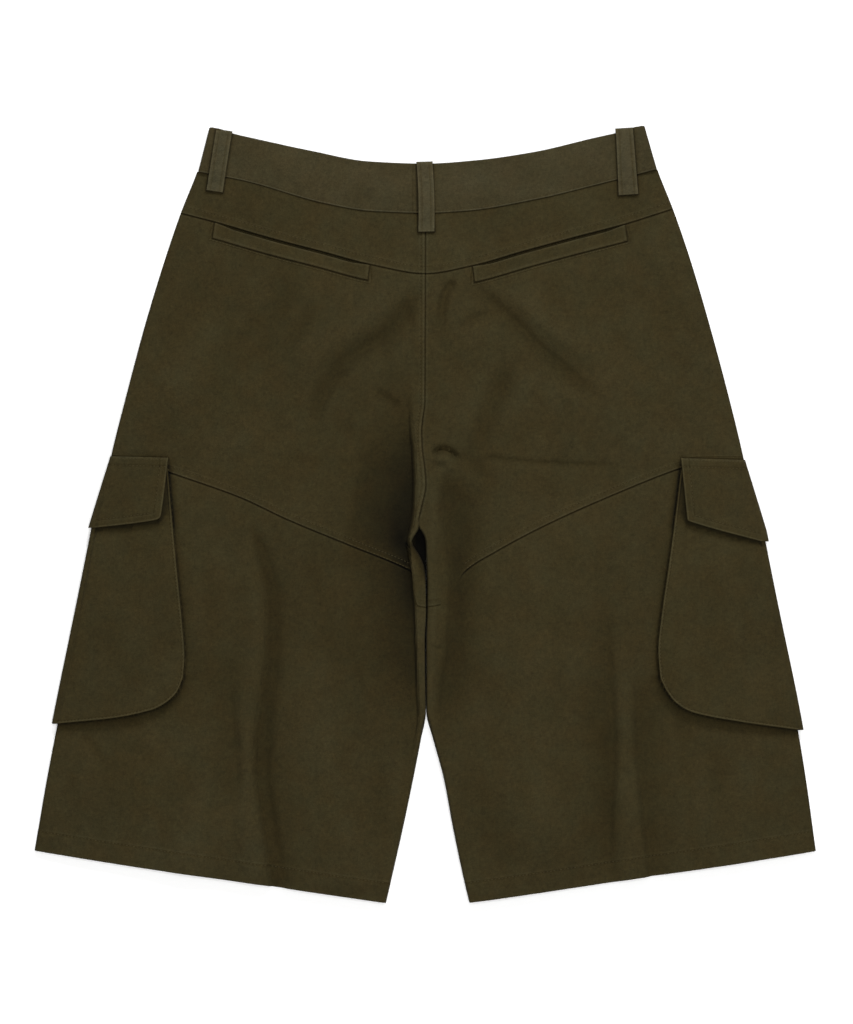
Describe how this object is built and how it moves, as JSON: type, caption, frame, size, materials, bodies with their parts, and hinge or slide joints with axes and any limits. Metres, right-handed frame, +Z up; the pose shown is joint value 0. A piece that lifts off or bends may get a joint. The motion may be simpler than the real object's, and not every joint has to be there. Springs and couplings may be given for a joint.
{
  "type": "cargo shorts",
  "caption": "Knee-length twill cargo shorts laid flat, back up: waistband with belt loops, yoke, welt pockets, slanted leg seams and flapped cargo pockets that wrap the sides.",
  "frame": {"origin": "centre of the outline, on the surface that the shorts lie on", "axes": "+X to the wearer's right, +Y up the legs to the waist, +Z up from the surface, out of the back side"},
  "size_m": [0.7276, 0.7212, 0.0129],
  "materials": {
    "twill": "dark olive brushed cotton twill, matte",
    "twill_band": "dark olive cotton twill, doubled and pressed, matte",
    "twill_pocket": "dark olive cotton twill, matte",
    "zip_tape": "dark woven zip tape",
    "button": "dark horn-like resin, satin"
  },
  "bodies": {
    "root": {"yoke_left": "twill", "yoke_right": "twill", "back_left": "twill", "back_right": "twill", "back_leg_left": "twill", "back_leg_right": "twill", "front_left": "twill", "front_right": "twill", "waistband_left": "twill_band", "waistband_right": "twill_band", "cargo_pocket_left": "twill_pocket", "cargo_pocket_right": "twill_pocket", "pocket_flap_left": "twill_pocket", "pocket_flap_right": "twill_pocket", "welt_left": "twill_pocket", "welt_right": "twill_pocket", "belt_loop_back_left": "twill_band", "belt_loop_back_centre": "twill_band", "belt_loop_back_right": "twill_band", "belt_loop_front_left": "twill_band", "belt_loop_front_right": "twill_band", "fly_zip": "zip_tape", "waist_button": "button"}
  },
  "joints": []
}
